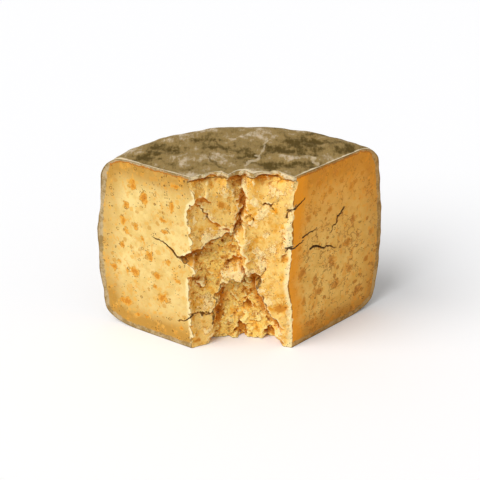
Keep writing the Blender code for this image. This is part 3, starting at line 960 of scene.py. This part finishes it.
class Wire:
    """One value in a material's node tree."""

    def __init__(self, tree, socket=None):
        self.tree = tree
        self.socket = socket

    def node(self, kind, settings=None, inputs=None, output=0):
        """Add a node, set it up, feed its inputs, and return one of its outputs."""
        made = self.tree.nodes.new("ShaderNode" + kind)
        for name, setting in (settings or {}).items():
            setattr(made, name, setting)
        for name, value in (inputs or {}).items():
            if isinstance(value, Wire):
                self.tree.links.new(value.socket, made.inputs[name])
            else:
                made.inputs[name].default_value = value
        return Wire(self.tree, made.outputs[output]) if made.outputs else None

    def maths(self, operation, *values):
        return self.node("Math", {"operation": operation}, dict(enumerate(values)))

    __add__, __radd__ = joined_by("ADD"), joined_by("ADD", True)
    __sub__, __rsub__ = joined_by("SUBTRACT"), joined_by("SUBTRACT", True)
    __mul__, __rmul__ = joined_by("MULTIPLY"), joined_by("MULTIPLY", True)

    def __abs__(self):
        return self.maths("ABSOLUTE", self)

    def ramp(self, start, end):
        """0 before start, 1 after end. With start above end it falls instead."""
        return self.node("MapRange", {"interpolation_type": 'SMOOTHSTEP'},
                         {"Value": self, "From Min": start, "From Max": end})

    def tint(self, below, above):
        """The colour `below` where this value is 0 and `above` where it is 1."""
        return self.node("Mix", {"data_type": 'RGBA'}, {0: self, 6: below, 7: above}, 2)


cheese = bpy.data.materials.new("cheese")
cheese.use_nodes = True
cheese.node_tree.nodes.clear()
paint = Wire(cheese.node_tree)
place = paint.node("TexCoord", output="Object")


def field(name):
    """An attribute of the mesh."""
    return paint.node("Attribute", {"attribute_name": name}, output="Fac")


def cloudy(width, seed, detail=2.0, rough=0.5, stretch=(1, 1, 1)):
    """Soft noise round 0.5 with clouds `width` millimetres across."""
    at = paint.node("VectorMath", {"operation": 'MULTIPLY'}, {0: place, 1: stretch})
    return paint.node("TexNoise", {"noise_dimensions": '4D'},
                      {"Vector": at, "W": seed * 7.3, "Scale": 1 / (width * MM),
                       "Detail": detail, "Roughness": rough})


def seeds(width, output, feature='F1'):
    """Scattered cells `width` millimetres across: distance to seed or edge, or a random colour."""
    return paint.node("TexVoronoi", {"feature": feature},
                      {"Vector": place, "Scale": 1 / (width * MM)}, output)


def luck(width, channel):
    """A random number from 0 to 1 for each cell of `seeds`."""
    return paint.node("SeparateColor", inputs={0: seeds(width, "Color")}, output=channel)


# %% [markdown]
# Paste of the cut sides
#
# The cut paste is a pale gold that turns ochre towards the rind. It carries amber eyes, lighter
# clouds, groups of dark specks and tiny rings. The right side, which faces away from the sun, is
# painted a shade more ochre than the left, as painted shade. The left side's edge by the break is
# painted paler, partly for wear and partly as painted highlight.

# %% Colours and coats of the cut paste
CREAM, GOLD, OCHRE = srgb(238, 210, 138), srgb(222, 184, 104), srgb(190, 142, 62)
AMBER, DEEP_AMBER, SPECK = srgb(224, 156, 52), srgb(198, 122, 34), srgb(96, 58, 20)
DAB, DAB_BROWN, CURL_BROWN = srgb(228, 174, 80), srgb(176, 120, 50), srgb(146, 88, 28)
EYE_BROWN, DEEP_BROWN = srgb(200, 138, 54), srgb(154, 98, 34)
RIGHT_SHADE_WARMTH, RIGHT_ORANGE = srgb(255, 232, 190), srgb(242, 154, 32)
WORN_AND_HIGHLIT = srgb(244, 226, 170)


def times(share, first, second):
    """Multiply two colours where share is 1."""
    return paint.node("Mix", {"data_type": 'RGBA', "blend_type": 'MULTIPLY'},
                      {0: share, 6: first, 7: second}, 2)


def coated(ground, *coats):
    """A ground colour under coats, each a pair of how well it covers and its colour."""
    for cover, colour in coats:
        ground = cover.tint(ground, colour)
    return ground


broad = cloudy(38, 1)
patchy = cloudy(11, 2, 3.0, 0.55)
streaky = cloudy(7, 3, 3.0, 0.6, (1, 1, 0.55))
gritty = cloudy(2.4, 4, 2.0, 0.6)
blotch, streak, grit = patchy - 0.5, streaky - 0.5, gritty - 0.5
skin_depth, cut_gap, edge_gap = field("skin"), field("off_cut"), field("from_edge")
is_right = field("on_right")
is_left = 1 - is_right
up = paint.node("SeparateXYZ", inputs={0: place}, output=2) * (1 / MM)

# %% Cut paste
ochre_part = skin_depth.ramp(38, 8) * (0.55 + 0.45 * up.ramp(150, 205) + 0.45 * up.ramp(70, 20))
ochre_part = ochre_part + 0.28 * up.ramp(100, 20) * is_left + 0.25 * up.ramp(120, 200) * is_right
dab_shape = seeds(8.0, "Distance") + streak * 0.9 + grit * 0.5
dab_part = dab_shape.ramp(0.36, 0.28) * luck(8.0, 0).ramp(0.40, 0.44)
dark_dab = dab_part * luck(8.0, 2).ramp(0.60, 0.64) * (0.35 + is_right * 0.4)
small_part = (streaky + grit * 0.45).ramp(0.56, 0.62) * 0.45
eye_depth = field("eyes") * 1.3 + streak * 2.6 + grit * 1.6
eye_part = eye_depth.ramp(0.54, 0.72) * (1 - is_right * 0.35)
eye_core = eye_depth.ramp(0.92, 1.10) * (0.75 - is_right * 0.3)
eye_rim = abs(eye_depth - 0.60).ramp(0.11, 0.03) * (patchy + gritty * 0.5).ramp(0.70, 0.80)
speck_part = seeds(2.8, "Distance").ramp(0.28, 0.18) * luck(2.8, 0).ramp(0.45, 0.49)
speck_part = speck_part * cloudy(14, 5, 1.0).ramp(0.50, 0.57)
ring_part = abs(seeds(9.0, "Distance") + grit * 0.2 - 0.19).ramp(0.055, 0.025)
ring_part = ring_part * luck(9.0, 1).ramp(0.55, 0.59) * streaky.ramp(0.44, 0.52)
curl_part = abs(cloudy(9, 9, 2.0) - 0.5).ramp(0.032, 0.010) * cloudy(12, 10, 1.0).ramp(0.46, 0.54)
cut_colour = coated(
    (broad * 0.9 + patchy + gritty * 0.35).ramp(0.84, 1.40).tint(GOLD, CREAM),
    (ochre_part * (0.40 + patchy * 1.1), OCHRE),
    (dab_part * (0.35 + 0.45 * luck(8.0, 1)), DAB),
    (dark_dab, DAB_BROWN),
    (small_part, AMBER),
    (eye_depth.ramp(0.30, 0.60) * 0.5, DAB),
    (eye_part * 0.85, is_right.tint(AMBER, EYE_BROWN)),
    (eye_core, is_right.tint(DEEP_AMBER, DEEP_BROWN)),
    (eye_rim * field("eyes").ramp(0.1, 0.3) * 0.55, SPECK),
    (speck_part * 0.85, SPECK),
    (ring_part * 0.65, SPECK),
    (curl_part * (0.08 + is_right * 0.50), CURL_BROWN))

near_break = (edge_gap + blotch * 14).ramp(26, 3) + up.ramp(110, 200) * 0.45
# The left side's edge by the break is painted paler, partly wear and partly painted highlight.
worn_and_highlit_edge = (edge_gap + grit * 5 + streak * 6).ramp(4.5, 1.5)
edge_line = (edge_gap + grit * 3).ramp(1.5, 0.5) * is_right
# Painted shade: the right side, away from the sun, is painted warmer and more ochre.
cut_colour = coated(
    times(is_right, cut_colour, RIGHT_SHADE_WARMTH),
    (near_break * is_right * 0.9, RIGHT_ORANGE),
    (worn_and_highlit_edge * is_left * 0.8, WORN_AND_HIGHLIT),
    (edge_line * 0.6, SPECK))

# %% [markdown]
# Broken paste
#
# On the break the grains show. Each grain has a tint of its own and the seams between grains are
# rust brown. The hollows and the places under the ledges are painted rust brown, as painted shade,
# while the sunk parts are painted brighter, as painted light that makes up for the shade there.
# The crumbs are nearly white. Fine hairlines run over the plates.

# %% Broken paste
RUST, DEEP_RUST, STAIN_AND_SHADE = srgb(218, 132, 22), srgb(122, 64, 8), srgb(178, 94, 8)
HONEY, BUTTER, CRUMB = srgb(230, 164, 50), srgb(243, 203, 117), srgb(253, 228, 166)
DEEP_HONEY, DEEP_BUTTER = srgb(255, 180, 58), srgb(255, 216, 116)
DEEP_CRUMB, DARK_CRACK = srgb(255, 230, 150), srgb(88, 46, 12)

hollow_part, patch_part = field("hollow"), field("patch")
# In the sunk parts the paste is painted brighter and more saturated, a painted light that makes up
# for the shade falling there.
sunk_part = field("sunk").ramp(4, 13)
crumb_colour = sunk_part.tint(CRUMB, DEEP_CRUMB)
grainy = sunk_part * 0.6 + hollow_part.ramp(0.12, 0.42) * 0.4
break_tone = blotch * 2.5 + streak * 1.3 + grit * (0.8 + 0.9 * grainy)
break_tone = break_tone + (luck(3.4, 0) - 0.5) * (0.14 + 0.3 * grainy) + 0.72
# Painted light and shade: the sunk parts are painted a little brighter to make up for their shade,
# and the hollows darker.
break_tone = break_tone + sunk_part * 0.10 - hollow_part * 0.1
amber_shape = patch_part + streak * 1.9 + grit * 0.9
crumb_shape = streak * 2.0 + grit * 1.6 - patch_part
pale_part = crumb_shape.ramp(0.38, 0.58)
# Painted shadow: a thin dark rim round the raised pale crumbs.
crumb_rim = abs(crumb_shape - 0.38).ramp(0.10, 0.03) * (patchy + gritty * 0.6).ramp(0.74, 0.84)
crumb_rim = crumb_rim * (0 - patch_part).ramp(0.1, 0.3)
# Painted shade: where something hangs close over the break, and under the ledge and the arch, the
# paste is painted rust and stain brown.
under_part = (field("under") + blotch * 0.5 + grit * 0.3).ramp(0.35, 0.80)
break_colour = coated(
    break_tone.ramp(0.05, 0.95).tint(sunk_part.tint(HONEY, DEEP_HONEY),
                                     sunk_part.tint(BUTTER, DEEP_BUTTER)),
    (break_tone.ramp(0.30, 0.02) * 0.7, RUST),
    # Painted shade: the shut-in hollows are painted rust brown.
    ((hollow_part + blotch * 0.5).ramp(0.26, 0.66) * 0.55, RUST),
    (dab_part * (0.3 + 0.4 * luck(8.0, 1)), AMBER),
    (small_part * 1.3 * (1 - grainy * 0.9), AMBER),
    (amber_shape.ramp(0.42, 0.62) * 0.7, AMBER),
    (amber_shape.ramp(0.85, 1.05) * 0.7, DEEP_AMBER),
    (pale_part * 0.65, crumb_colour),
    (crumb_rim * 0.7, STAIN_AND_SHADE),
    (under_part * 0.8, RUST),
    (under_part * (1 - gritty.ramp(0.42, 0.56)) * 0.5, STAIN_AND_SHADE))

# %% [markdown]
# Seams, bubbles, pits and dark lines
#
# Small things go on last, so that the broad tints don't wash them out: seams between grains, pale
# bubbles with a dark rim, brown pits, nearly white ridges and pale strips along the edges, partly
# worn and partly painted highlight, and painted shade in the valleys, the nooks, the fissures and
# along the ledges and the left edge.

# %% Small things on the break
seam_part = seeds(3.4, "Distance", 'DISTANCE_TO_EDGE').ramp(0.10, 0.03)
seam_part = seam_part * (0.2 + 0.5 * grainy + 0.3 * pale_part) * (patchy + gritty).ramp(0.95, 1.12)
bubble = seeds(6.5, "Distance") + grit * 0.14
mostly_grainy = 0.15 + 0.85 * grainy
pale_bubble = luck(6.5, 2).ramp(0.60, 0.62) * mostly_grainy
bubble_rim = abs(bubble - 0.24).ramp(0.055, 0.02) * pale_bubble * streaky.ramp(0.40, 0.50)
pit_part = bubble.ramp(0.36, 0.24) * luck(6.5, 0).ramp(0.56, 0.58) * mostly_grainy
# The break along the right edge is painted paler, partly wear and partly painted highlight.
worn_and_highlit_front = (cut_gap + grit * 5 + streak * 8).ramp(6.5, 2.5)
worn_and_highlit_front = worn_and_highlit_front * is_right * (1 - sunk_part) * (0.35 + 0.65 * up.ramp(170, 150))
# Painted shadow: a dark line on the break along its left edge.
left_line = (cut_gap + grit * 2.5).ramp(1.5, 0.6) * is_left
hair_part = abs(cloudy(6.5, 6) - 0.5).ramp(0.012, 0.004) * cloudy(9, 7, 1.0).ramp(0.50, 0.58)
break_colour = coated(
    break_colour,
    (seam_part * 0.75, STAIN_AND_SHADE),
    (bubble.ramp(0.23, 0.18) * pale_bubble * 0.8, CRUMB),
    (bubble_rim * 0.8, DARK_CRACK),
    (pit_part * 0.8, STAIN_AND_SHADE),
    (pit_part * bubble.ramp(0.18, 0.12) * 0.7, DARK_CRACK),
    # The ridges are painted nearly white, partly wear and partly painted highlight.
    ((field("ridge") + grit * 0.9).ramp(0.35, 1.0) * 0.8, crumb_colour),
    (worn_and_highlit_front * 0.75, WORN_AND_HIGHLIT),
    # Painted shade: the valleys, where a point lies below its smoothed copy, are painted stain
    # brown.
    ((grit * 0.6 - field("ridge")).ramp(0.45, 1.1) * 0.45, STAIN_AND_SHADE),
    (left_line * 0.6, DARK_CRACK),
    # Painted shade: the narrow nooks are painted deep rust.
    ((field("nook") + grit * 0.25).ramp(0.42, 0.74) * 0.5, DEEP_RUST),
    # Painted shade: the fissures and the lines under the ledges are painted dark.
    ((field("fissure") + grit * 0.5).ramp(0.32, 0.72) * 0.85, DARK_CRACK),
    (hair_part * 0.5, DARK_CRACK),
    (speck_part * 0.7, DARK_CRACK))

# %% [markdown]
# Rind
#
# Seen from outside the rind is a dry olive brown with clouds, hatching and pale veins. Where it is
# cut or broken its edge shows as a grey cream band about six millimetres thick, which stays thin
# along the top of the cut sides.

# %% Rind and its cut edge
RIND_DARK, RIND_BROWN, RIND_PALE = srgb(88, 70, 30), srgb(148, 123, 75), srgb(198, 178, 148)
VEIN_PALE, BAND, BAND_PALE = srgb(200, 180, 146), srgb(158, 130, 78), srgb(210, 188, 144)
BAND_SHADE, RIM_PALE = srgb(230, 230, 236), srgb(228, 210, 174)

hatch = cloudy(3.2, 8, 3.0, 0.65, (1.0, 0.28, 0.5))
rind_tone = 0.55 + (broad - 0.5) * 1.2 + blotch * 1.3 + (hatch - 0.5) * 0.9
# The shallow hollows on the top are painted darker.
rind_tone = rind_tone + grit * 0.3 - field("cloud") * 0.42
# Painted highlight: a pale line along the top rim of the rind.
rim_part = (field("from_rim") + grit * 2.5 + streak * 4).ramp(3.2, 1.2) * up.ramp(208, 214)
rind_speck = seeds(2.8, "Distance").ramp(0.26, 0.14) * luck(2.8, 0).ramp(0.30, 0.34)
rind_colour = coated(
    rind_tone.ramp(0.55, 0.98).tint(RIND_BROWN, RIND_PALE),
    (rind_tone.ramp(0.50, 0.08), RIND_DARK),
    ((field("vein") + grit * 0.9 + streak * 0.8).ramp(0.45, 0.9) * 0.65, VEIN_PALE),
    # Painted shade: the creases on the top are painted dark.
    ((field("crease") + grit * 0.8).ramp(0.5, 0.95) * 0.7, RIND_DARK),
    (rind_speck * 0.35, RIND_DARK),
    (rim_part * 0.85, RIM_PALE))

is_break = paint.maths("MINIMUM", cut_gap, skin_depth).ramp(0.1, 0.6)
on_cut_part = 1 - is_break
band_depth = skin_depth + streak * 7 + grit * 3 + up.ramp(200, 212) * on_cut_part * 3.4
band_tone = patchy + gritty * 0.6
band_colour = coated(
    band_tone.ramp(0.65, 0.95).tint(BAND, BAND_PALE),
    (is_break * band_tone.ramp(0.72, 0.82) * 0.6, RIM_PALE),
    (skin_depth.ramp(1.3, 0.6) * 0.75, RIND_DARK))
# Painted shade: the rind's band on the right side is painted warmer too.
band_colour = times(is_right * on_cut_part, band_colour, RIGHT_SHADE_WARMTH)
band_colour = times(on_cut_part, band_colour, BAND_SHADE)

# %% [markdown]
# Put the finishes together
#
# The masks go from the inside out: the cut paste, the broken paste over it, the cut edge of the
# rind, and the outer rind. Bump from the same noises gives the surfaces their dry grain.

# %% Finished material
band_part = band_depth.ramp(7.2, 5.4) * 0.85 * (1 - is_break * up.ramp(40, 20))
band_part = band_part * (1 - is_break * field("sunk").ramp(3, 7) * skin_depth.ramp(3, 5))
# Painted shadow: a thin dark line under the rind's edge at the top, as under a lip.
band_foot = abs(band_depth - 7.0).ramp(1.1, 0.4) * up.ramp(204, 210)
# Painted shade: the cracks in the cut sides are painted dark inside.
crack_part = (field("crack") + grit * 0.4).ramp(0.42, 0.75)
outer = skin_depth.ramp(0.45, 0.12)
colour = coated(
    cut_colour,
    (is_break, break_colour),
    (band_part, band_colour),
    (band_foot * 0.7, is_break.tint(STAIN_AND_SHADE, DARK_CRACK)),
    (crack_part * 0.85, DARK_CRACK),
    (outer, rind_colour))

height = grit * 0.5 + streak * 0.4 + (hatch - 0.5) * outer * 0.8
height = height - eye_part * 0.15 * (1 - outer) - speck_part * 0.3
dents = pale_bubble * bubble.ramp(0.3, 0.1) - pit_part - seam_part * 0.5
height = height + is_break * dents * 0.5
bump = paint.node("Bump", inputs={"Strength": 0.5, "Distance": 0.0011, "Height": height})
roughness = 0.5 + grit * 0.25 + outer * 0.16 + is_break * 0.08
surface = paint.node("BsdfPrincipled", inputs={
    "Base Color": colour, "Roughness": roughness, "Normal": bump,
    "Specular IOR Level": 0.07, "Subsurface Weight": 0.12, "Subsurface Scale": 0.004,
    "Subsurface Radius": (1.0, 0.55, 0.25)})
paint.node("OutputMaterial", inputs={"Surface": surface})
chunk.data.materials.clear()
chunk.data.materials.append(cheese)
print("material nodes:", len(cheese.node_tree.nodes))

# %% [markdown]
# Lay the surface out flat
#
# A texture can be painted from the material later, and it needs a flat layout. Automatic ones cut
# a crumbly surface into thousands of crumbs. So each side is laid out as one chart, as we would
# look at it: the break from the front, the cut sides along their planes, the outer rind unrolled,
# the top and the foot from above. Charts that show most get most room.

# %% Charts
SHEET = 1024
CHARTS = {   # its corner on the sheet, what lies there in millimetres, and the size of a millimetre
    "break": (4, 4, -90, -2, 2.26),
    "left": (340, 4, 58, -2, 2.26),
    "right": (676, 4, 48, -2, 2.24),
    "top": (4, 520, -168, 35, 2.0),
    "foot": (4, 856, -168, 35, 1.0),
    "outer": (640, 522, -14, -212, 1.29),
}
RIND_REACH, SIDE_REACH, CRACK_REACH, OFF_EDGE = 3.0, 1.2, 9.0, 3.0


def flat_places(points, side):
    """Where points lie on a side, in millimetres across and up."""
    x, y, z = points.T / MM
    radius = np.hypot(x, y)
    if side == "break":
        return x, z
    if side in ("left", "right"):
        return radius, z
    if side == "outer":
        rest = DRUM_RADIUS / MM - radius
        return z + np.where(z > 100, rest, -rest), np.arctan2(x, y) * DRUM_RADIUS / MM
    return x, y


def sides_of(middles, from_edge):
    """The name of the side that each place on the surface belongs to."""
    radius, height = np.hypot(middles[:, 0], middles[:, 1]), middles[:, 2]
    on_skin = depth_under_rind(middles) < RIND_REACH * MM
    top_start = DRUM_HEIGHT - TOP_CORNER_DOWN
    top_flat = side_radius(top_start) - TOP_CORNER_ACROSS
    low_flat = side_radius(LOW_CORNER_UP) - LOW_CORNER_ACROSS
    over = (height - top_start) / TOP_CORNER_DOWN > (radius - top_flat) / TOP_CORNER_ACROSS
    below = (LOW_CORNER_UP - height) / LOW_CORNER_UP > (radius - low_flat) / LOW_CORNER_ACROSS
    reach = np.where(from_edge > OFF_EDGE, CRACK_REACH, SIDE_REACH) * MM
    left, right = off_cut_sides(middles)
    flat_left, flat_right = left < reach, right < reach
    flat_rind = on_skin & (np.minimum(left, right) > 0.05 * MM)
    return np.select([flat_rind & over, flat_rind & below, flat_rind & (radius > top_flat),
                      flat_left, flat_right], ["top", "foot", "outer", "left", "right"], "break")


loop_points = np.empty(len(chunk.data.loops), dtype=int)
chunk.data.loops.foreach_get("vertex_index", loop_points)
corners = points[loop_points].reshape(-1, 3, 3)
sides = sides_of(corners.mean(axis=1), from_edge[loop_points].reshape(-1, 3).mean(axis=1))
layout = np.empty((len(sides), 3, 2))
for side, (left, bottom, start_across, start_up, scale) in CHARTS.items():
    chosen = sides == side
    across, along = flat_places(corners[chosen].reshape(-1, 3), side)
    placed = np.stack((left + (across - start_across) * scale,
                       bottom + (along - start_up) * scale), axis=-1)
    layout[chosen] = np.clip(placed, 1, SHEET - 1).reshape(-1, 3, 2) / SHEET
    print(side, int(chosen.sum()), "triangles,", placed.min(axis=0).round(),
          placed.max(axis=0).round())
chart = chunk.data.uv_layers.new(name="OFBake")
chart.uv.foreach_set("vector", layout.astype(np.float32).ravel())

# %% [markdown]
# Place and shade the piece
#
# The mesh was made round the drum's axis, so it is moved to the axis of the frame. Edges where
# rind, cut and break meet stay sharp, the rest is shaded smooth.

# %% Place, shade and declare
SHARP_ANGLE = math.radians(48)
chunk.data.transform(Matrix.Translation(AXIS))
chunk.data.shade_smooth()
chunk.data.set_sharp_from_angle(angle=SHARP_ANGLE)
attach(chunk, "root")
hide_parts(NODE)
